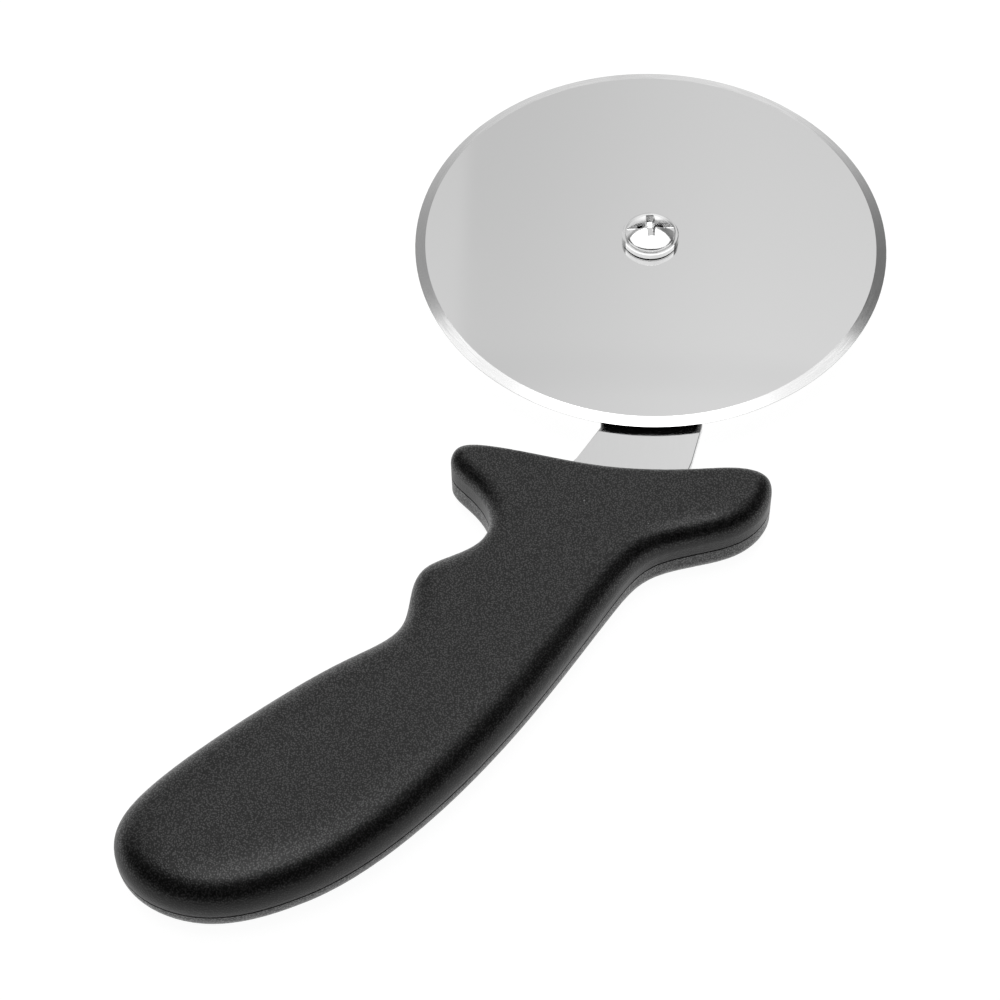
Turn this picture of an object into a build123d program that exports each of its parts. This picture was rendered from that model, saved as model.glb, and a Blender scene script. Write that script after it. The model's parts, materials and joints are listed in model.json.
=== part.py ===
from build123d import *
import math
import os

# A pizza cutter: a wheel that turns on a flanged bush, a plate shank and a two-part handle.
# Lengths are in millimetres. While the pieces are made the wheel turns about the Z axis and
# the handle's flat underside is the plane z = 0. The last step moves every piece so that the
# origin is the middle of the underside of the whole part's box.

# Wheel
wheel_diameter = 101.6
wheel_thickness = 1.5
bevel_width = 2.2
edge_land = 0.16

# Running fit of the wheel
wheel_fit_clearance = 0.06
play_over_wheel = 0.25
play_under_wheel = 0.10

# Bush, screw and the washers and nut below the shank
sleeve_diameter = 8.0
flange_diameter = 12.2
flange_thickness = 1.5
flange_chamfer = 0.2
screw_diameter = 6.0
screw_fit_clearance = 0.05
head_diameter = 10.8
head_height = 3.3
head_rim_height = 0.7
head_underside_chamfer = 0.25
screw_tip_chamfer = 0.6
screw_stick_out = 1.7
slot_width = 1.3
slot_depth = 2.3
cross_span = 6.2
cross_arm_width = 1.9
cross_depth = 2.7
cross_taper = 9.0
drive_turn = 6.0
spacer_thickness = 0.65
lock_washer_diameter = 11.8
lock_washer_thickness = 1.6
lock_washer_gap = 0.7
lock_washer_gap_lean = 25.0
nut_across_flats = 10.0
nut_height = 3.2
nut_chamfer = 0.6
nut_chamfer_angle = 30.0
nut_sides = 6

# Shank
shank_thickness = 2.0
hub_width = 19.0
pin_hole_clearance = 0.2
tang_side_clearance = 0.15

# Handle
handle_length = 106.0
handle_width = 121.0
handle_thickness = 15.0
guard_clearance = 8.8
shell_wall = 2.4
floor_thickness = 3.0
insert_root = 0.6
seam_groove = 0.2
rib_thickness = 1.8
pin_diameter = 5.0
pin_length = 5.0
pin_tip_chamfer = 0.5
boss_wall = 2.2
socket_clearance = 0.05
socket_end_clearance = 0.5
cut_overrun = 1.0

# The handle's outline at the seam, in stretches that each run anticlockwise from above.
# Each row holds the place across, the place behind the guard's front, the shoulder's radius
# and the crown's width, as shares of the handle's width, its length and its half thickness.
guard_front_shares = [(0.083, 0.043, 0.16, 0.08), (-0.041, 0.046, 0.16, 0.08),
                      (-0.149, 0.028, 0.16, 0.08), (-0.256, 0.007, 0.17, 0.08)]
left_horn_shares = [(-0.306, 0.009, 0.33, 0.11), (-0.316, 0.041, 0.44, 0.13),
                    (-0.279, 0.092, 0.48, 0.17)]
finger_notch_shares = [(-0.245, 0.159, 0.47, 0.21), (-0.261, 0.222, 0.52, 0.23)]
finger_bump_shares = [(-0.334, 0.275, 0.53, 0.19), (-0.360, 0.325, 0.57, 0.27)]
finger_side_shares = [(-0.374, 0.409, 0.72, 0.43), (-0.456, 0.483, 0.79, 0.56),
                      (-0.605, 0.616, 0.83, 0.67), (-0.731, 0.757, 0.83, 0.67)]
butt_shares = [(-0.777, 0.862, 0.83, 0.67), (-0.737, 0.956, 0.83, 0.67),
               (-0.620, 0.999, 0.83, 0.67)]
palm_side_shares = [(-0.476, 0.947, 0.83, 0.67), (-0.318, 0.800, 0.83, 0.67),
                    (-0.155, 0.553, 0.79, 0.64), (-0.031, 0.311, 0.68, 0.48)]
right_horn_shares = [(0.035, 0.223, 0.61, 0.40), (0.154, 0.173, 0.60, 0.35),
                     (0.210, 0.111, 0.56, 0.27), (0.214, 0.053, 0.37, 0.13),
                     (0.169, 0.035, 0.19, 0.08)]
outline_stretch_shares = [palm_side_shares[:2], palm_side_shares[2:], right_horn_shares,
                          guard_front_shares, left_horn_shares,
                          finger_notch_shares + finger_bump_shares, finger_side_shares,
                          butt_shares]
handle_outline_shares = sum(outline_stretch_shares, [])
horn_tip_shares = [left_horn_shares[1], right_horn_shares[3]]

# Tilts of the handle's section, from its flat face over the crown to its upright wall
crown_tilt = 12.0
crown_tilts = [0.0, 1.5, 3.0, 6.0, 9.0]
shoulder_tilts = [crown_tilt, 20.0, 30.0, 40.0, 50.0, 60.0, 70.0, 80.0, 90.0]

# Places inside the handle's outline, as shares of its width and its length
tang_left_shares = [(-0.071, -0.089), (-0.110, -0.010), (-0.248, 0.268), (-0.421, 0.542)]
tang_right_shares = [(-0.314, 0.674), (-0.066, 0.353), (0.083, 0.003), (0.102, -0.103)]
tang_end_share = (-0.385, 0.640)
tang_pin_shares = [(-0.099, 0.192), (-0.273, 0.466)]
free_pin_shares = [(-0.579, 0.787), (-0.205, 0.105), (0.140, 0.110)]
rib_shares = [(-0.165, 0.330), (-0.340, 0.590), (-0.455, 0.690), (-0.640, 0.880)]
rib_lean = 44.0
rib_reach_share = 0.5

# Heights worked out from the sizes above
half_height = handle_thickness / 2
shank_top = half_height + shank_thickness / 2
shank_bottom = half_height - shank_thickness / 2
spacer_top = shank_top + spacer_thickness
wheel_bottom = spacer_top + play_under_wheel
wheel_top = wheel_bottom + wheel_thickness
flange_bottom = wheel_top + play_over_wheel
flange_top = flange_bottom + flange_thickness
lock_washer_bottom = shank_bottom - lock_washer_thickness
nut_bottom = lock_washer_bottom - nut_height
screw_bottom = nut_bottom - screw_stick_out
guard_line = -(wheel_diameter / 2 + guard_clearance)


def handle_place(x_share, y_share):
    """A place in the handle's plan, from shares of its width and its length."""
    return Vector(handle_width * x_share, guard_line - handle_length * y_share, 0)


def ring(outer_diameter, inner_diameter, bottom, top):
    """An upright ring on the wheel's axis."""
    disc = Pos(0, 0, bottom) * Cylinder(outer_diameter / 2, top - bottom,
                                        align=(Align.CENTER, Align.CENTER, Align.MIN))
    hole = Pos(0, 0, bottom) * Cylinder(inner_diameter / 2, top - bottom,
                                        align=(Align.CENTER, Align.CENTER, Align.MIN))
    return disc - hole


def make_wheel_blade():
    """The disc, ground to an edge from both faces, with the hole that runs on the bush."""
    radius = wheel_diameter / 2
    hole_radius = sleeve_diameter / 2 + wheel_fit_clearance
    middle = (wheel_bottom + wheel_top) / 2
    section = Polyline((hole_radius, wheel_bottom), (radius - bevel_width, wheel_bottom),
                       (radius, middle - edge_land / 2), (radius, middle + edge_land / 2),
                       (radius - bevel_width, wheel_top), (hole_radius, wheel_top), close=True)
    return revolve(Plane.XZ * make_face(section), Axis.Z)


def make_wheel_bush():
    """The flanged sleeve: the flange keeps the wheel down and the sleeve is its bearing."""
    bore = screw_diameter + 2 * screw_fit_clearance
    sleeve = ring(sleeve_diameter, bore, spacer_top, flange_bottom)
    flange = ring(flange_diameter, bore, flange_bottom, flange_top)
    rims = flange.edges().filter_by(GeomType.CIRCLE).sort_by(SortBy.RADIUS)[-2:]
    return sleeve + chamfer(rims, flange_chamfer)


def make_axle_screw():
    """A domed pan head with a slot and a cross recess, and a plain shaft down to the nut."""
    head_radius = head_diameter / 2
    rim_top = flange_top + head_rim_height
    head_top = flange_top + head_height
    shaft_radius = screw_diameter / 2
    cap_height = head_height - head_rim_height
    cap_radius = (head_radius ** 2 + cap_height ** 2) / (2 * cap_height)
    shaft_lines = Polyline((0, head_top), (0, screw_bottom),
                           (shaft_radius - screw_tip_chamfer, screw_bottom),
                           (shaft_radius, screw_bottom + screw_tip_chamfer),
                           (shaft_radius, flange_top),
                           (head_radius - head_underside_chamfer, flange_top),
                           (head_radius, flange_top + head_underside_chamfer),
                           (head_radius, rim_top))
    dome = RadiusArc((head_radius, rim_top), (0, head_top), -cap_radius)
    screw = revolve(Plane.XZ * make_face([*shaft_lines.edges(), *dome.edges()]), Axis.Z)
    floor_up = (Align.CENTER, Align.CENTER, Align.MIN)
    slot = Pos(0, 0, head_top - slot_depth) * Box(head_diameter, slot_width, slot_depth,
                                                  align=floor_up)
    cross = Rectangle(cross_span, cross_arm_width) + Rectangle(cross_arm_width, cross_span)
    recess = extrude(Pos(0, 0, head_top) * cross, -cross_depth, taper=cross_taper)
    return screw - Rot(0, 0, drive_turn) * (slot + recess)


def make_spacer_washer():
    """The washer that holds the wheel clear of the shank."""
    return ring(flange_diameter, screw_diameter + 2 * screw_fit_clearance, shank_top, spacer_top)


def make_lock_washer():
    """A spring washer drawn flat by the nut, with its slanting cut."""
    washer = ring(lock_washer_diameter, screw_diameter + 2 * screw_fit_clearance,
                  lock_washer_bottom, shank_bottom)
    cut = Rot(lock_washer_gap_lean, 0, 0) * Box(lock_washer_diameter, lock_washer_gap,
                                                lock_washer_diameter)
    middle = (lock_washer_bottom + shank_bottom) / 2
    return washer - Pos(lock_washer_diameter / 2, 0, middle) * cut


def make_hex_nut():
    """A thin hex nut with its corners turned off on both faces."""
    blank = extrude(Pos(0, 0, nut_bottom) * RegularPolygon(nut_across_flats / 2, nut_sides,
                                                           major_radius=False), nut_height)
    corner_radius = nut_across_flats / 2 / math.cos(math.pi / nut_sides)
    turned = Pos(0, 0, nut_bottom) * Cylinder(corner_radius, nut_height,
                                              align=(Align.CENTER, Align.CENTER, Align.MIN))
    side = nut_chamfer * math.tan(math.radians(nut_chamfer_angle))
    turned = chamfer(turned.edges().filter_by(GeomType.CIRCLE), nut_chamfer, side)
    return (blank & turned) - ring(screw_diameter, 0, nut_bottom, lock_washer_bottom)


def tang_face(side_clearance):
    """The shank's plan: a round end on the axle, then two curved sides into the handle."""
    hub_radius = hub_width / 2
    aside = Vector(side_clearance, 0, 0)
    left = [handle_place(*share) - aside for share in tang_left_shares]
    right = [handle_place(*share) + aside for share in tang_right_shares]
    tip = handle_place(*tang_end_share) - Vector(0, side_clearance, 0)
    hub = ThreePointArc((hub_radius, 0), (0, hub_radius), (-hub_radius, 0))
    neck = [Line((-hub_radius, 0), left[0]), Line(right[-1], (hub_radius, 0))]
    sides = [neck[0], Spline(left, tangents=[left[0] - neck[0] @ 0, left[-1] - left[-2]]),
             ThreePointArc(left[-1], tip, right[0]),
             Spline(right, tangents=[right[1] - right[0], neck[1] @ 1 - right[-1]]), neck[1]]
    return make_face(hub.edges() + [side.edge() for side in sides])


def make_shank():
    """The stamped plate, with the axle's hole and the holes for the handle's pins."""
    plate = extrude(Pos(0, 0, shank_bottom) * tang_face(0), shank_thickness)
    plate -= Pos(0, 0, half_height) * Cylinder(screw_diameter / 2 + screw_fit_clearance,
                                               shank_thickness)
    for share in tang_pin_shares:
        hole = Cylinder(pin_diameter / 2 + pin_hole_clearance, shank_thickness)
        plate -= Pos(handle_place(*share)) * Pos(0, 0, half_height) * hole
    return plate


def outline_steps(rows):
    """Curve parameters for the outline's points, spaced by the square root of their distance."""
    places = [handle_place(x, y) for x, y, _, _ in rows]
    steps = [0.0]
    for place, following in zip(places, places[1:] + places[:1]):
        steps.append(steps[-1] + math.sqrt((following - place).length))
    return [step / steps[-1] for step in steps]


def outline_guide(rows, points):
    """One smooth closed curve through the points, one for each row of the outline."""
    return Edge.make_spline(points, periodic=True, parameters=outline_steps(rows))


def outline_curve(rows, points):
    """The same closed curve as one edge per stretch, cut where the stretches meet."""
    guide = outline_guide(rows, points)
    steps = outline_steps(rows)
    starts = [rows.index(stretch[0]) for stretch in outline_stretch_shares]
    edges = []
    for start, end in zip(starts, starts[1:] + [len(rows)]):
        span = steps[end] - steps[start]
        speeds = [Vector(guide.geom_adaptor().DN(steps[place], 1)) for place in (start, end)]
        edges.append(Edge.make_spline((points + points[:1])[start:end + 1],
                                      tangents=[speed * span for speed in speeds], scale=False,
                                      parameters=[(step - steps[start]) / span
                                                  for step in steps[start:end + 1]]))
    return Wire(edges)


def inward_directions(rows):
    """The inward direction at each point of the outline."""
    places = [handle_place(x, y) for x, y, _, _ in rows]
    guide = outline_guide(rows, places)
    tangents = [guide.tangent_at(place) for place in places]
    return [Vector(-tangent.Y, tangent.X, 0) for tangent in tangents]


def section_offset(tilt, shoulder, crown):
    """How far in from the wall and how far down from the flat a point of the section lies."""
    lean = math.radians(tilt)
    crown_lean = math.radians(crown_tilt)
    crown_radius = crown / math.sin(crown_lean)
    if tilt <= crown_tilt:
        inward = shoulder * (1 - math.sin(crown_lean)) + crown - crown_radius * math.sin(lean)
        return inward, crown_radius * (1 - math.cos(lean))
    crown_drop = crown_radius * (1 - math.cos(crown_lean))
    inward = shoulder * (1 - math.sin(lean))
    return inward, crown_drop + shoulder * (math.cos(crown_lean) - math.cos(lean))


def outer_half():
    """Half of the handle's form as a solid that stands on its seam at z = 0.

    The section goes from the flat face at the top, over the crown and the shoulder, down an
    upright wall to the seam, where a groove draws it in.
    """
    rows = handle_outline_shares
    places = [handle_place(x, y) for x, y, _, _ in rows]
    inwards = inward_directions(rows)
    curves = []
    for tilt in crown_tilts + shoulder_tilts:
        points = []
        for place, inward, row in zip(places, inwards, rows):
            move, drop = section_offset(tilt, row[2] * half_height, row[3] * half_height)
            points.append(place + inward * move + Vector(0, 0, half_height - drop))
        curves.append(outline_curve(rows, points))
    foot = [place + Vector(0, 0, seam_groove) for place in places]
    seam = [place + inward * seam_groove for place, inward in zip(places, inwards)]
    uprights = [curves[-1], outline_curve(rows, foot), outline_curve(rows, seam)]
    faces = [Face(curves[0]), *Shell.make_loft(curves).faces(),
             *Shell.make_loft(uprights, ruled=True).faces(), Face(uprights[-1])]
    return Solid(Shell(faces))


def upright_form(inward_distance, top):
    """An upright block on the seam plane, drawn in from the outline and short of the horns."""
    rows = [row for row in handle_outline_shares if row not in horn_tip_shares]
    points = [handle_place(row[0], row[1]) + inward * inward_distance
              for row, inward in zip(rows, inward_directions(rows))]
    return extrude(Face(outline_curve(rows, points)), top, dir=(0, 0, 1))


def post(place_shares, diameter, top):
    """An upright round post on the seam plane, or up to another height."""
    return Pos(handle_place(*place_shares)) * Cylinder(
        diameter / 2, top, align=(Align.CENTER, Align.CENTER, Align.MIN))


def make_base_half():
    """One moulded half above its seam: a skin, cross ribs, bosses, and the tang's recess."""
    cavity_height = half_height - floor_thickness
    cavity = Pos(0, 0, -cut_overrun) * upright_form(shell_wall, cavity_height + cut_overrun)
    insert_room = upright_form(shell_wall - insert_root, cavity_height + insert_root)
    recess = Pos(0, 0, -cut_overrun) * extrude(tang_face(tang_side_clearance),
                                               shank_thickness / 2 + cut_overrun)
    rib = Box(rib_thickness, handle_width * rib_reach_share, half_height,
              align=(Align.CENTER, Align.CENTER, Align.MIN))
    inserts = Part()
    for share in rib_shares:
        inserts += Pos(handle_place(*share)) * Rot(0, 0, rib_lean) * rib
    for share in tang_pin_shares + free_pin_shares:
        inserts += post(share, pin_diameter + 2 * boss_wall, half_height)
    inserts = (inserts & insert_room) - recess
    return (outer_half() - cavity - recess) + inserts


def make_handle_upper_shell(base_half):
    """The upper half, with a socket in each boss."""
    shell = base_half
    for share in tang_pin_shares + free_pin_shares:
        shell -= post(share, pin_diameter + 2 * socket_clearance,
                      pin_length + socket_end_clearance)
    return Pos(0, 0, half_height) * shell


def make_handle_lower_shell(base_half):
    """The lower half, turned over, with pins that pass through the tang into the sockets."""
    shell = base_half
    root = shank_thickness / 2
    for share in tang_pin_shares + free_pin_shares:
        pin = Cylinder(pin_diameter / 2, root + pin_length,
                       align=(Align.CENTER, Align.CENTER, Align.MIN))
        pin = chamfer(pin.edges().group_by(Axis.Z)[0], pin_tip_chamfer)
        shell += Pos(handle_place(*share)) * Pos(0, 0, -pin_length) * pin
    return Pos(0, 0, half_height) * shell.mirror(Plane.XY)


base_half = make_base_half()
pieces = {
    "wheel_blade": make_wheel_blade(),
    "wheel_bush": make_wheel_bush(),
    "axle_screw": make_axle_screw(),
    "spacer_washer": make_spacer_washer(),
    "shank": make_shank(),
    "lock_washer": make_lock_washer(),
    "hex_nut": make_hex_nut(),
    "handle_upper_shell": make_handle_upper_shell(base_half),
    "handle_lower_shell": make_handle_lower_shell(base_half),
}

# The origin goes to the middle of the underside of the whole part's box.
whole = Compound(children=[Part(piece.wrapped) for piece in pieces.values()]).bounding_box()
to_origin = Pos(-whole.center().X, -whole.center().Y, 0)

os.makedirs("parts", exist_ok=True)
for name, piece in pieces.items():
    export_step(to_origin * piece, f"parts/{name}.step")
    box = (to_origin * piece).bounding_box()
    print(name, len(piece.solids()), round(piece.volume, 1), box.min, box.max)
print("origin moved by", to_origin.position)
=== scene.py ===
# %% [markdown]
# # A pizza cutter, finished on its fixed frame
#
# The cutter is a large steel disc that spins on a flanged bush, a stamped plate that carries
# it, and a black moulded handle in two halves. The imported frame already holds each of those
# pieces at its real size and place. This lesson leaves them there and adds what the frame
# can't hold: rounded rims that catch the light, a screw thread, and a finish for every piece.

# %% Load the frame
import json
import math

import bmesh
import bpy
from mathutils import Matrix, Vector


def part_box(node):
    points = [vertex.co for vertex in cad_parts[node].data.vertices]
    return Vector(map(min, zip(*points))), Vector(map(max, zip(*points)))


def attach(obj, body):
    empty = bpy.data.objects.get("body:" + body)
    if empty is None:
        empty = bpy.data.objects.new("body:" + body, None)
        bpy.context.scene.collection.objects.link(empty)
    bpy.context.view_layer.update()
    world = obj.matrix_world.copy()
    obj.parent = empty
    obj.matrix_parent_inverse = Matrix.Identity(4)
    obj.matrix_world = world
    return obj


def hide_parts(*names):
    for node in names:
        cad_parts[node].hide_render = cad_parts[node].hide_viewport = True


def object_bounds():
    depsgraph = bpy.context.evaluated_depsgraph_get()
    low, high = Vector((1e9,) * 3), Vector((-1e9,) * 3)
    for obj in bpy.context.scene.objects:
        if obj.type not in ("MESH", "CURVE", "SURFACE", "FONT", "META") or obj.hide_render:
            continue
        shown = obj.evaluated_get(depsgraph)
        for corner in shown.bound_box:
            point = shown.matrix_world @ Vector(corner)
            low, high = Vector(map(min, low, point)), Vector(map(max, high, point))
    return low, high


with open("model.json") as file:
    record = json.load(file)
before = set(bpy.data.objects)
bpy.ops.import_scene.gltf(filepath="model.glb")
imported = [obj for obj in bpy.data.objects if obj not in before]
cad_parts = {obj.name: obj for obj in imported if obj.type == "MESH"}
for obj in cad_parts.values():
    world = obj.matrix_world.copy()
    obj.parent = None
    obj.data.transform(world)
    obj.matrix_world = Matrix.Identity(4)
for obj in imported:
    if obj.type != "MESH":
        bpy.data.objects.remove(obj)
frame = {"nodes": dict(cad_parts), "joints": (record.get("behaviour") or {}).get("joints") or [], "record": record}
cad_low, cad_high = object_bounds()
bpy.context.scene.view_settings.view_transform = "Standard"
pieces = frame["nodes"]
axle = Vector(frame["joints"][0]["pos_m"])
print("frame box", [round(v, 4) for v in cad_low], [round(v, 4) for v in cad_high])
print("axle at", [round(v, 5) for v in axle])

# %% [markdown]
# ## Sizes read from the frame
#
# Patterns that follow a piece, such as the ground bevel at the disc's rim, need that piece's
# size. The sizes are read from the frame's boxes. Only the bevel's width is given, because a
# box doesn't tell it.

# %% Sizes that the finishes use
wheel_low, wheel_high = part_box("wheel_blade")
wheel_radius = (wheel_high.x - wheel_low.x) / 2
bevel_width = 0.0022
seam_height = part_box("handle_upper_shell")[0].z
print("wheel radius", round(wheel_radius, 5), "seam height", round(seam_height, 5))

# %% [markdown]
# ## The camera
#
# A photographed circle tells where the camera stood: the disc's outline is an ellipse, and
# its height, width and tilt fix the distance and the elevation. The eye is placed from those
# two numbers, then looks at a point beside the handle, with the small roll of a camera that
# wasn't quite level.

# %% Place the camera
eye_distance = 0.5719
eye_elevation = math.radians(48.19)
camera_roll = math.radians(-1.74)
sensor_width = 36
lens_length = 94.63
beside_handle = Vector((-0.0279, -0.0708, 0))
eye = axle + eye_distance * Vector((0, -math.cos(eye_elevation), math.sin(eye_elevation)))
target = axle + beside_handle

look = (target - eye).normalized()
right = look.cross(Vector((0, 0, 1))).normalized()
down = look.cross(right)
rolled_right = right * math.cos(camera_roll) - down * math.sin(camera_roll)
rolled_down = right * math.sin(camera_roll) + down * math.cos(camera_roll)

camera_data = bpy.data.cameras.new("studio_camera")
camera_data.sensor_width = sensor_width
camera_data.lens = lens_length
camera = bpy.data.objects.new("studio_camera", camera_data)
bpy.context.collection.objects.link(camera)
turn = Matrix((rolled_right, -rolled_down, -look)).transposed()
camera.matrix_world = Matrix.Translation(eye) @ turn.to_4x4()
bpy.context.scene.camera = camera
print("camera at", [round(v, 4) for v in eye], "lens", camera_data.lens)

# %% [markdown]
# ## The studio light
#
# Polished steel shows the room more than itself, so the room is designed first. A small bright
# glow hangs straight overhead, a pale screen stands behind the cutter, the sides are dimmer
# and the side of the camera is nearly dark. All of it is painted on the world by direction, so
# that it lights the floor evenly. Camera rays see plain white instead, as on a product page.

# %% Helpers that add and join nodes
def grey(level):
    """A colour with equal parts of red, green and blue."""
    return (level, level, level, 1)


def add_node(tree, kind, **settings):
    """Adds a node; settings named after its own properties are set on it."""
    node = tree.nodes.new(kind)
    for name, value in settings.items():
        setattr(node, name, value)
    return node


def feed(tree, value, socket):
    """Joins an output to a socket, or sets the socket where the value is a plain one."""
    if isinstance(value, bpy.types.NodeSocket):
        tree.links.new(value, socket)
    else:
        socket.default_value = value


def feed_all(tree, node, **values):
    """Feeds a node's inputs by name and gives back its outputs."""
    for label, value in values.items():
        feed(tree, value, node.inputs[label])
    return node.outputs


def calculate(tree, operation, *values):
    """A Math node on up to three values."""
    node = add_node(tree, "ShaderNodeMath", operation=operation)
    for value, socket in zip(values, node.inputs):
        feed(tree, value, socket)
    return node.outputs[0]


def ramp(tree, value, start, end, low=0.0, high=1.0):
    """A smooth step from low to high while the value goes from start to end."""
    node = add_node(tree, "ShaderNodeMapRange", interpolation_type="SMOOTHSTEP")
    for name, setting in zip(("Value", "From Min", "From Max", "To Min", "To Max"),
                             (value, start, end, low, high)):
        feed(tree, setting, node.inputs[name])
    return node.outputs["Result"]


def blend(tree, kind, share, first, second):
    """Mixes two values of a kind, FLOAT or RGBA, by a share from 0 to 1."""
    node = add_node(tree, "ShaderNodeMix", data_type=kind)
    return feed_all(tree, node, Factor=share, A=first, B=second)["Result"]


def parts_of(tree, vector):
    """The x, y and z of a vector."""
    node = add_node(tree, "ShaderNodeSeparateXYZ")
    feed(tree, vector, node.inputs[0])
    return node.outputs


print("node helpers ready")

# %% The world: a glow overhead, a screen behind, darkness on the camera's side
world = bpy.data.worlds.new("studio")
world.use_nodes = True
bpy.context.scene.world = world
sky = world.node_tree
sky.nodes.clear()
across, away, up = parts_of(sky, add_node(sky, "ShaderNodeTexCoord").outputs["Generated"])

glow_above = ramp(sky, up, start=0.93, end=0.99, low=0.0, high=3.6)

joint_height = 0.777
from_joint = calculate(sky, "ABSOLUTE", calculate(sky, "SUBTRACT", up, joint_height))
screen_shares = (
    ramp(sky, away, start=0.08, end=0.45),  # it stands beyond the cutter
    ramp(sky, up, start=0.70, end=0.80, low=0.83, high=0.93),  # a little paler high up
    ramp(sky, up, start=0.25, end=0.60, low=1.75, high=1.0),  # brightest near the horizon
    ramp(sky, across, start=0.20, end=0.55, low=1.0, high=0.18),  # nearly dark at the right
    ramp(sky, across, start=-0.60, end=-0.20, low=0.62, high=1.0),  # dimmer at the left
    ramp(sky, across, start=-0.075, end=0.045, low=0.83, high=1.0),  # a soft step at its middle
    ramp(sky, across, start=-0.066, end=-0.074, low=1.0, high=1.12),  # its brighter left panel
    ramp(sky, from_joint, start=0.001, end=0.007, low=0.955, high=1.0),  # a faint joint
)
screen = screen_shares[0]
for share in screen_shares[1:]:
    screen = calculate(sky, "MULTIPLY", screen, share)

room = ramp(sky, away, start=-0.5, end=0.3, low=0.03, high=0.12)
below = ramp(sky, up, start=-0.02, end=0.0, low=0.8, high=0.0)
studio = calculate(sky, "ADD", room, screen)
for light in (glow_above, below):
    studio = calculate(sky, "ADD", studio, light)

seen_by_camera = add_node(sky, "ShaderNodeLightPath").outputs["Is Camera Ray"]
background = add_node(sky, "ShaderNodeBackground")
background.inputs["Color"].default_value = grey(1)
feed(sky, blend(sky, "FLOAT", seen_by_camera, studio, 1.0), background.inputs["Strength"])
feed(sky, background.outputs[0], add_node(sky, "ShaderNodeOutputWorld").inputs["Surface"])
print("world nodes", len(sky.nodes))

# %% [markdown]
# ## The softbox
#
# One real lamp, a wide softbox, hangs close over the disc, set back towards the camera. It
# whitens the screw's dome and, by way of the disc, the walls of its head. Further on it is
# kept to the polished metal by light linking, as a studio would with black flags, so that
# the handle's shoulder stays black.

# %% Hang the softbox over the disc
box_width = 1.2
box_depth = 0.365
box_from_axle = Vector((0.0, -0.1175, 0.17))
box_radiance = 1.65
softbox_data = bpy.data.lights.new("softbox", "AREA")
softbox_data.shape = "RECTANGLE"
softbox_data.size = box_width
softbox_data.size_y = box_depth
softbox_data.energy = box_radiance * math.pi * softbox_data.size * softbox_data.size_y
softbox = bpy.data.objects.new("softbox", softbox_data)
bpy.context.collection.objects.link(softbox)
softbox.location = axle + box_from_axle
softbox.visible_camera = False
print("softbox", round(softbox_data.energy, 3), "W")

# %% [markdown]
# ## The floor
#
# The floor is one large pale square. It is a little darker than white under this light, so
# for camera rays, and for rays that reach it through a reflection or through something
# clear, it glows by what is missing. So the open floor reads white, while the cutter still
# throws its shadow on it.

# %% Make the floor
floor_half = 4.0
floor_gap = 0.00002
floor_glow = 0.96
lit_albedo = 0.8
seen_albedo = 0.14
floor_roughness = 0.9
floor_specular = 0.1
sheet = bmesh.new()
bmesh.ops.create_grid(sheet, x_segments=1, y_segments=1, size=floor_half)
floor_mesh = bpy.data.meshes.new("floor")
sheet.to_mesh(floor_mesh)
sheet.free()
floor = bpy.data.objects.new("floor", floor_mesh)
bpy.context.collection.objects.link(floor)
floor.location.z = cad_low.z - floor_gap

pale = bpy.data.materials.new("pale_floor")
pale.use_nodes = True
paint = pale.node_tree
shader = paint.nodes["Principled BSDF"]
shader.inputs["Roughness"].default_value = floor_roughness
shader.inputs["Specular IOR Level"].default_value = floor_specular
shader.inputs["Emission Color"].default_value = grey(1)
rays = add_node(paint, "ShaderNodeLightPath").outputs
seen = calculate(paint, "MAXIMUM", rays["Is Camera Ray"], rays["Is Glossy Ray"])
seen = calculate(paint, "MAXIMUM", seen, rays["Is Transmission Ray"])
feed(paint, calculate(paint, "MULTIPLY", seen, floor_glow), shader.inputs["Emission Strength"])
feed(paint, blend(paint, "RGBA", seen, grey(lit_albedo), grey(seen_albedo)),
     shader.inputs["Base Color"])
floor_mesh.materials.append(pale)
print("floor at", round(floor.location.z, 6))

# %% [markdown]
# ## Shared effects
#
# Three effects appear on more than one piece, so each is a node group that puts out plain
# values. "Fine grain" is the small pebbled texture of a spark-eroded mould. "Ring marks" are
# the fine circles that turning and grinding leave round the axle. "Handling" is the faint,
# cloudy trace of fingers, which changes the gloss and hardly the colour.

# %% Helpers for groups, and the fine grain
def start_group(name, inputs, outputs):
    """A shader node group that takes a Vector and named numbers, and puts out numbers."""
    group = bpy.data.node_groups.new(name, "ShaderNodeTree")
    group.interface.new_socket("Vector", in_out="INPUT", socket_type="NodeSocketVector")
    for label, value in inputs.items():
        socket = group.interface.new_socket(label, in_out="INPUT",
                                            socket_type="NodeSocketFloat")
        socket.default_value = value
    for label in outputs:
        group.interface.new_socket(label, in_out="OUTPUT", socket_type="NodeSocketFloat")
    given = add_node(group, "NodeGroupInput").outputs
    result = add_node(group, "NodeGroupOutput").inputs
    return group, given, result


def cells(tree, place, scale, **settings):
    """A Voronoi node, which divides space into cells round scattered points."""
    node = add_node(tree, "ShaderNodeTexVoronoi", **settings)
    feed_all(tree, node, Vector=place, Scale=scale)
    return node


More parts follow.
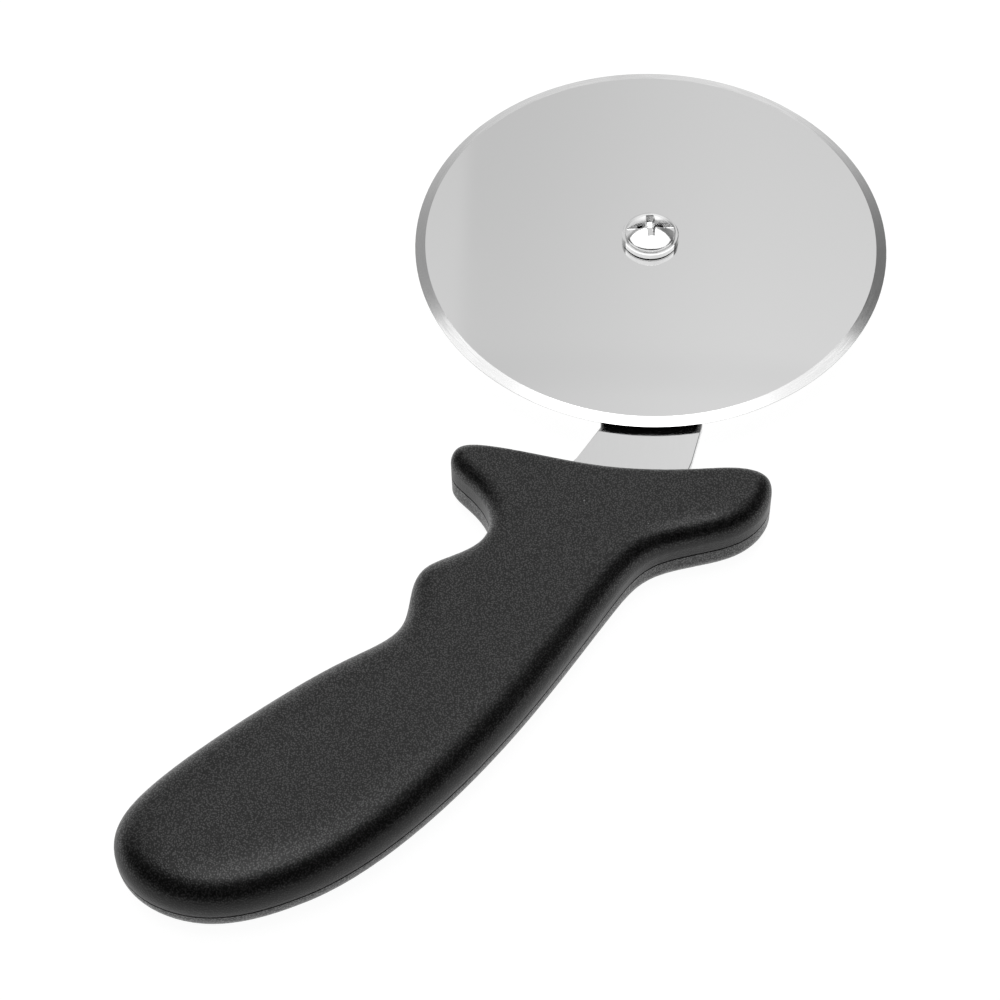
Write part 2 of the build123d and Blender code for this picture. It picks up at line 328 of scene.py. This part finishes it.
speck_scale = 0.16
grain_group, given, result = start_group("fine_grain", {"Cells": 2000.0},
                                         ("Height", "Specks"))
pebbles = cells(grain_group, given["Vector"], given["Cells"], feature="SMOOTH_F1")
pebbles.inputs["Smoothness"].default_value = 0.35
feed(grain_group, ramp(grain_group, pebbles.outputs["Distance"], start=0.62, end=0.12),
     result["Height"])
dots = cells(grain_group, given["Vector"],
             calculate(grain_group, "MULTIPLY", given["Cells"], speck_scale))
chance = add_node(grain_group, "ShaderNodeSeparateColor")
feed(grain_group, dots.outputs["Color"], chance.inputs[0])
few = ramp(grain_group, chance.outputs[0], start=0.972, end=0.976)
near = ramp(grain_group, dots.outputs["Distance"], start=0.10, end=0.06)
feed(grain_group, calculate(grain_group, "MULTIPLY", few, near), result["Specks"])
print("fine grain group", len(grain_group.nodes))

# %% Ring marks round an axis
def calculate_vector(tree, operation, *values):
    """A Vector Math node on up to three vectors."""
    node = add_node(tree, "ShaderNodeVectorMath", operation=operation)
    for value, socket in zip(values, node.inputs):
        feed(tree, value, socket)
    return node.outputs


def noise(tree, place, scale=1.0, detail=2.0):
    """A noise texture's value. At scale 1 the coordinates alone set its size."""
    node = add_node(tree, "ShaderNodeTexNoise")
    return feed_all(tree, node, Vector=place, Scale=scale, Detail=detail)["Fac"]


rings_group, given, result = start_group("ring_marks", {"Lines": 9000.0, "Sweep": 6.0},
                                         ("Marks", "Radius"))
flat = calculate_vector(rings_group, "MULTIPLY", given["Vector"], (1, 1, 0))["Vector"]
radius = calculate_vector(rings_group, "LENGTH", flat)["Value"]
heading = calculate_vector(rings_group, "NORMALIZE", flat)["Vector"]
wound = add_node(rings_group, "ShaderNodeCombineXYZ")
for part, socket in zip(parts_of(rings_group, heading)[:2], wound.inputs[:2]):
    feed(rings_group, calculate(rings_group, "MULTIPLY", part, given["Sweep"]), socket)
feed(rings_group, calculate(rings_group, "MULTIPLY", radius, given["Lines"]),
     wound.inputs[2])
scratches = noise(rings_group, wound.outputs[0], detail=4.0)
feed(rings_group, ramp(rings_group, scratches, start=0.25, end=0.75), result["Marks"])
feed(rings_group, radius, result["Radius"])
print("ring marks group", len(rings_group.nodes))

# %% Handling: clouds of slightly duller surface
def mapped(tree, place, **settings):
    """Coordinates that are moved, turned or scaled before use."""
    return feed_all(tree, add_node(tree, "ShaderNodeMapping"), Vector=place,
                    **settings)["Vector"]


handling_group, given, result = start_group("handling", {"Size": 60.0}, ("Cloud", "Wipes"))
cloud = noise(handling_group, given["Vector"], given["Size"])
feed(handling_group, ramp(handling_group, cloud, start=0.35, end=0.7), result["Cloud"])
stretched = mapped(handling_group, given["Vector"], Rotation=(0, 0, 0.7),
                   Scale=(900, 60, 60))
wipes = noise(handling_group, stretched)
feed(handling_group, ramp(handling_group, wipes, start=0.4, end=0.8), result["Wipes"])
print("handling group", len(handling_group.nodes))

# %% [markdown]
# ## Finishes
#
# Each finish starts from one Principled shader with a plain colour and roughness. What
# changes over the surface then comes through nodes, which vary those two by a little.

# %% Helpers for finishes
def start_finish(name, color, metallic, roughness):
    """A new material, its node tree, its shader and its Object coordinates."""
    material = bpy.data.materials.new(name)
    material.use_nodes = True
    tree = material.node_tree
    bsdf = tree.nodes["Principled BSDF"]
    bsdf.inputs["Base Color"].default_value = color
    bsdf.inputs["Metallic"].default_value = metallic
    bsdf.inputs["Roughness"].default_value = roughness
    place = add_node(tree, "ShaderNodeTexCoord").outputs["Object"]
    return material, tree, bsdf, place


def use_group(tree, group, **values):
    """Places a node group and feeds its named inputs."""
    return feed_all(tree, add_node(tree, "ShaderNodeGroup", node_tree=group), **values)


def ease(tree, share, low, high):
    """A value that goes smoothly from low to high as the share goes from 0 to 1."""
    return ramp(tree, share, start=0.0, end=1.0, low=low, high=high)


def add_bump(tree, bsdf, height, depth):
    """Feeds a height that is depth metres tall to the shader's normal."""
    normal = feed_all(tree, add_node(tree, "ShaderNodeBump"), Strength=1.0, Distance=depth,
                      Height=height)["Normal"]
    feed(tree, normal, bsdf.inputs["Normal"])


def dress(material, *names):
    """Gives a finish to CAD nodes by name."""
    for name in names:
        for slot in pieces[name].material_slots:
            slot.material = material
    print(material.name, "on", *names)


print("finish helpers ready")

# %% [markdown]
# ## The handle's plastic
#
# The handle is black polypropylene from a grained mould. Its pebbles are about a third of a
# millimetre wide and a few hundredths deep, which breaks every reflection into a fine
# speckle. The black is a very dark grey, and use has left faint pale wipes on the raised
# faces. The black is painted a little lighter on the tops of the pebbles, as painted glints,
# and a few specks are pale grey. On the wall above the seam the coat is cut, a painted shade
# that keeps the wall from reflecting the floor.

# %% Grained black plastic
wall_top = seam_height + 0.0042
wall_fade = 0.001
seam_fade = 0.0001
scuff_share = 0.09
speck_share = 0.6
grained_black, tree, bsdf, place = start_finish("grained_black", color=grey(0.008),
                                                metallic=0, roughness=0.4)
bsdf.inputs["Specular IOR Level"].default_value = 0.33
bsdf.inputs["Coat Roughness"].default_value = 0.33
grain = use_group(tree, grain_group, Vector=place, Cells=2900.0)
touched = use_group(tree, handling_group, Vector=place, Size=45.0)
# Painted glints: the black is lighter where the pebbles stand highest.
black = blend(tree, "RGBA", grain["Height"], grey(0.001), grey(0.015))
scuffed = calculate(tree, "MULTIPLY", touched["Wipes"], touched["Cloud"])
black = blend(tree, "RGBA", calculate(tree, "MULTIPLY", scuffed, scuff_share), black,
              grey(0.10))
black = blend(tree, "RGBA", calculate(tree, "MULTIPLY", grain["Specks"], speck_share), black,
              grey(0.30))
feed(tree, black, bsdf.inputs["Base Color"])
height = parts_of(tree, place)["Z"]
# Painted shade: the coat is nearly cut on the wall from the seam up to wall_top, so that wall shows hardly any
# reflection of the floor.
above_wall = ramp(tree, height, start=wall_top - wall_fade, end=wall_top + wall_fade)
below_seam = ramp(tree, height, start=seam_height, end=seam_height - seam_fade)
coat_with_painted_wall_shade = ease(tree, calculate(tree, "MAXIMUM", above_wall, below_seam), low=0.02, high=1.0)
feed(tree, calculate(tree, "MULTIPLY", grain["Height"], coat_with_painted_wall_shade), bsdf.inputs["Coat Weight"])
feed(tree, ease(tree, touched["Cloud"], low=0.38, high=0.34), bsdf.inputs["Roughness"])
add_bump(tree, bsdf, grain["Height"], depth=0.000025)
dress(grained_black, "handle_upper_shell", "handle_lower_shell")

# %% [markdown]
# ## The wheel's steel
#
# The disc is mirror-polished stainless steel with a ground bevel. One material holds both:
# the distance from the axle tells where the polished face ends. The bevel gets grinding
# rings and a duller shine, the face only the faint cloud of handling.

# %% Polished disc with a ground bevel
bevel_start = wheel_radius - bevel_width
bevel_fade = 0.00004
blade_steel, tree, bsdf, place = start_finish("blade_steel", color=grey(0.64), metallic=1,
                                              roughness=0.05)
from_axle = mapped(tree, place, Location=-axle)
rings = use_group(tree, rings_group, Vector=from_axle, Lines=7000.0, Sweep=9.0)
touched = use_group(tree, handling_group, Vector=place, Size=30.0)
on_bevel = ramp(tree, rings["Radius"], start=bevel_start - bevel_fade,
                end=bevel_start + bevel_fade)
ground_color = blend(tree, "RGBA", rings["Marks"], grey(0.47), grey(0.40))
feed(tree, blend(tree, "RGBA", on_bevel, grey(0.64), ground_color), bsdf.inputs["Base Color"])
face_gloss = ease(tree, touched["Cloud"], low=0.03, high=0.05)
bevel_gloss = ease(tree, rings["Marks"], low=0.15, high=0.24)
feed(tree, blend(tree, "FLOAT", on_bevel, face_gloss, bevel_gloss), bsdf.inputs["Roughness"])
ground = calculate(tree, "MULTIPLY", on_bevel, rings["Marks"])
add_bump(tree, bsdf, ground, depth=0.0000012)
dress(blade_steel, "wheel_blade")

# %% [markdown]
# ## Plate, screw and fastener steel
#
# The plate is satin stainless steel with a fine lengthwise brush. The screw and the bush are
# turned and polished, so they carry faint rings round the axle. The washers and the nut,
# which face the table, are plain plated steel with a cloudy, duller surface.

# %% Satin plate
plate_steel, tree, bsdf, place = start_finish("plate_steel", color=grey(0.63), metallic=1,
                                              roughness=0.08)
strokes = noise(tree, mapped(tree, place, Scale=(5000, 120, 120)), detail=3.0)
touched = use_group(tree, handling_group, Vector=place, Size=90.0)
steel = blend(tree, "RGBA", strokes, grey(0.62), grey(0.66))
feed(tree, steel, bsdf.inputs["Base Color"])
feed(tree, ease(tree, touched["Cloud"], low=0.06, high=0.09), bsdf.inputs["Roughness"])
add_bump(tree, bsdf, strokes, depth=0.0000006)
dress(plate_steel, "shank")

# %% Polished screw and bush
screw_steel, tree, bsdf, place = start_finish("screw_steel", color=grey(0.65), metallic=1,
                                              roughness=0.1)
rings = use_group(tree, rings_group, Vector=mapped(tree, place, Location=-axle),
                  Lines=12000.0, Sweep=2.0)
touched = use_group(tree, handling_group, Vector=place, Size=400.0)
steel = blend(tree, "RGBA", rings["Marks"], grey(0.63), grey(0.68))
feed(tree, steel, bsdf.inputs["Base Color"])
feed(tree, ease(tree, touched["Cloud"], low=0.10, high=0.16), bsdf.inputs["Roughness"])
add_bump(tree, bsdf, rings["Marks"], depth=0.0000008)
dress(screw_steel, "axle_screw", "wheel_bush")

# %% Plain plated fasteners
fastener_steel, tree, bsdf, place = start_finish("fastener_steel", color=(0.6, 0.6, 0.61, 1),
                                                 metallic=1, roughness=0.35)
rings = use_group(tree, rings_group, Vector=mapped(tree, place, Location=-axle),
                  Lines=6000.0, Sweep=2.0)
touched = use_group(tree, handling_group, Vector=place, Size=500.0)
steel = blend(tree, "RGBA", touched["Cloud"], (0.55, 0.55, 0.57, 1), grey(0.66))
feed(tree, steel, bsdf.inputs["Base Color"])
feed(tree, ease(tree, touched["Cloud"], low=0.30, high=0.42), bsdf.inputs["Roughness"])
add_bump(tree, bsdf, rings["Marks"], depth=0.000003)
dress(fastener_steel, "spacer_washer", "lock_washer", "hex_nut")

# %% [markdown]
# ## Softened rims
#
# No real metal edge is perfectly sharp. A stamped plate and a pressed screw head show a thin
# bright line where their rims turn. The frame's solids are sharp, so a copy of each such
# piece is merged, its sharp edges are rounded by one or two tenths of a millimetre, and the
# copy stands for the frame's piece. Its level faces stay flat-shaded, because smooth shading
# would bend them towards the thin rounding. The plate's copy also gets the straight neck of
# the photo.

# %% Rounded copies of the sharp metal pieces
merge_distance = 0.000002
coplanar_angle = math.radians(1.0)
sharp_angle = math.radians(35)
crease_angle = math.radians(40)
level_normal = 0.9999
# Both sides of the neck: x and y from the axle, at the wheel's rim and at the handle.
neck_sides = (((-0.00859, -0.05016), (-0.01331, -0.05854)),
              ((0.01234, -0.04868), (0.01004, -0.05992)))


def straighten_neck(soft):
    """Draws the plate's sides straight from the wheel's rim to the handle."""
    for (start_x, start_y), (end_x, end_y) in neck_sides:
        for vertex in soft.verts:
            x, y = vertex.co.x - axle.x, vertex.co.y - axle.y
            share = (y - start_y) / (end_y - start_y)
            if 0 < share < 1 and x * start_x > 0:
                vertex.co.x = axle.x + start_x + share * (end_x - start_x)


def softened_copy(node_name, body, rim, steps, reshape=None):
    """A copy of a CAD node with its sharp edges rounded, riding on the same body."""
    soft = bmesh.new()
    soft.from_mesh(pieces[node_name].data)
    bmesh.ops.remove_doubles(soft, verts=soft.verts, dist=merge_distance)
    if reshape:
        reshape(soft)
    bmesh.ops.dissolve_limit(soft, angle_limit=coplanar_angle, verts=soft.verts,
                             edges=soft.edges)
    sharp = [edge for edge in soft.edges
             if edge.is_manifold and edge.calc_face_angle(0) > sharp_angle]
    bmesh.ops.bevel(soft, geom=sharp, offset=rim, offset_type="OFFSET", affect="EDGES",
                    segments=steps, profile=0.5, material=-1, clamp_overlap=True)
    bmesh.ops.recalc_face_normals(soft, faces=soft.faces)
    mesh = bpy.data.meshes.new(f"{node_name}_softened")
    soft.to_mesh(mesh)
    soft.free()
    piece = bpy.data.objects.new(f"{node_name}_softened", mesh)
    bpy.context.collection.objects.link(piece)
    mesh.shade_smooth()
    mesh.set_sharp_from_angle(angle=crease_angle)
    for face in mesh.polygons:
        face.use_smooth = abs(face.normal.z) < level_normal
    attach(piece, body)
    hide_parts(node_name)
    print(piece.name, len(mesh.polygons), "faces from", len(sharp), "sharp edges")
    return piece


handle_body = next(name for name, members in frame["record"]["behaviour"]["bodies"].items()
                   if "shank" in members)
soft_plate = softened_copy("shank", handle_body, rim=0.00018, steps=3,
                           reshape=straighten_neck)
soft_plate.data.materials.append(plate_steel)
soft_screw = softened_copy("axle_screw", handle_body, rim=0.00008, steps=2)
soft_screw.data.materials.append(screw_steel)

# %% Keep the softbox to the polished metal
bright_metal = bpy.data.collections.new("bright_metal")
for piece in (pieces["wheel_blade"], pieces["wheel_bush"], soft_screw):
    bright_metal.objects.link(piece)
softbox.light_linking.receiver_collection = bright_metal

# %% [markdown]
# ## The screw's thread
#
# Below the nut a short end of the screw carries its thread. A real thread is a groove of one
# shape wound round a shaft. So one ridge of it is made here by spinning its outline round the
# axle, while it rises by one pitch a turn. The end is so short that the ridge goes two thirds
# of the way round. Both its ends are closed. Its crest is level with the frame's plain shaft,
# so it hardly shows.

# %% Spin the thread
screw_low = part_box("axle_screw")[0]
nut_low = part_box("hex_nut")[0]
thread_radius = 0.003
thread_pitch = 0.001
thread_depth = 0.0003
thread_steps = 48
ridge_height = 0.75
thread_top = nut_low.z + 0.0001
thread_bottom = screw_low.z + 0.0004


def spun_thread(bottom, top):
    """One ridge, wound up the shaft from bottom to top. Its heights are in pitches."""
    ridge = bmesh.new()
    root = thread_radius - thread_depth
    outline = [(root, 0.0), (thread_radius, 0.3), (thread_radius, 0.45),
               (root, ridge_height)]
    corners = [ridge.verts.new((axle.x + reach, axle.y, bottom + height * thread_pitch))
               for reach, height in outline]
    loop = ridge.faces.new(corners)
    turns = (top - bottom) / thread_pitch - ridge_height
    bmesh.ops.spin(ridge, geom=[loop, *loop.edges, *loop.verts], cent=axle, axis=(0, 0, 1),
                   dvec=(0, 0, thread_pitch / thread_steps), angle=math.tau * turns,
                   steps=round(turns * thread_steps), use_merge=False, use_duplicate=False)
    bmesh.ops.remove_doubles(ridge, verts=ridge.verts, dist=0.0000001)
    bmesh.ops.recalc_face_normals(ridge, faces=ridge.faces)
    return ridge


ridge = spun_thread(thread_bottom, thread_top)
thread_mesh = bpy.data.meshes.new("screw_thread")
ridge.to_mesh(thread_mesh)
open_edges = sum(1 for edge in ridge.edges if not edge.is_manifold)
ridge.free()
thread = bpy.data.objects.new("screw_thread", thread_mesh)
bpy.context.collection.objects.link(thread)
thread_mesh.materials.append(fastener_steel)
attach(thread, handle_body)
print("thread faces", len(thread_mesh.polygons), "open edges", open_edges)
